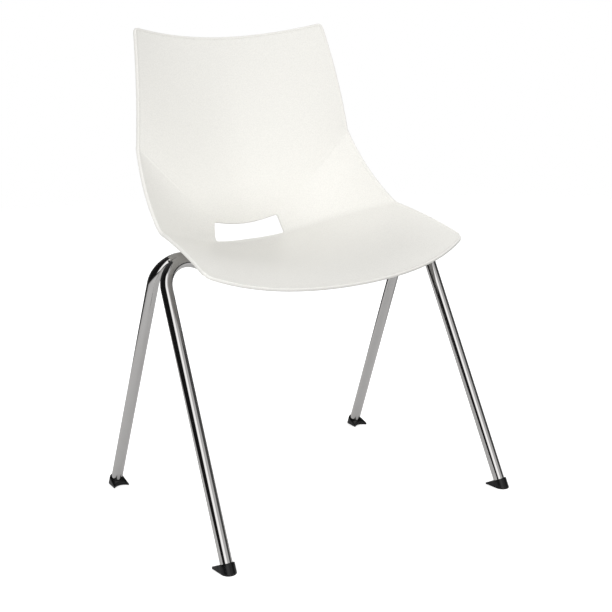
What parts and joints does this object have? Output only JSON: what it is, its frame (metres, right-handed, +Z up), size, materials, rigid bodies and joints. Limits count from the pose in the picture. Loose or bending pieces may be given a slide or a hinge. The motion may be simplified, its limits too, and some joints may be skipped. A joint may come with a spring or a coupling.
{
  "type": "stacking chair",
  "caption": "Armless stacking chair: a moulded one-piece seat and back with a hand slot, on bent chromed tube legs with moulded feet.",
  "frame": {"origin": "on the floor, below the middle of the chair's overall box", "axes": "+Z up; the sitter faces -Y, so +Y points to the back; +X is to the right of a person who looks at the chair's front"},
  "size_m": [0.599, 0.4808, 0.8185],
  "materials": {
    "shell_plastic": "fine moulded grain, off-white",
    "chrome_tube": "polished chrome plate",
    "chrome_plate": "chrome plate over pressed steel",
    "weld_metal": "chrome plate over weld beads",
    "foot_plastic": "black moulded plastic, slightly satin",
    "clip_plastic": "black moulded plastic",
    "pad_rubber": "matt black rubber",
    "insert_brass": "plain turned brass",
    "fastener_steel": "zinc-plated steel"
  },
  "bodies": {
    "root": {"seat_shell": "shell_plastic", "front_leg_frame": "chrome_tube", "rear_leg_frame": "chrome_tube", "left_seat_bracket": "chrome_plate", "right_seat_bracket": "chrome_plate", "left_tube_web": "chrome_plate", "right_tube_web": "chrome_plate", "bracket_welds": "weld_metal", "left_frame_pad": "pad_rubber", "right_frame_pad": "pad_rubber", "shell_inserts": "insert_brass", "seat_screws": "fastener_steel", "seat_washers": "fastener_steel", "foot_washers": "fastener_steel", "front_left_foot": "foot_plastic", "front_left_stacking_clip": "clip_plastic", "front_right_foot": "foot_plastic", "front_right_stacking_clip": "clip_plastic", "rear_left_foot": "foot_plastic", "rear_left_stacking_clip": "clip_plastic", "rear_right_foot": "foot_plastic", "rear_right_stacking_clip": "clip_plastic"}
  },
  "joints": []
}
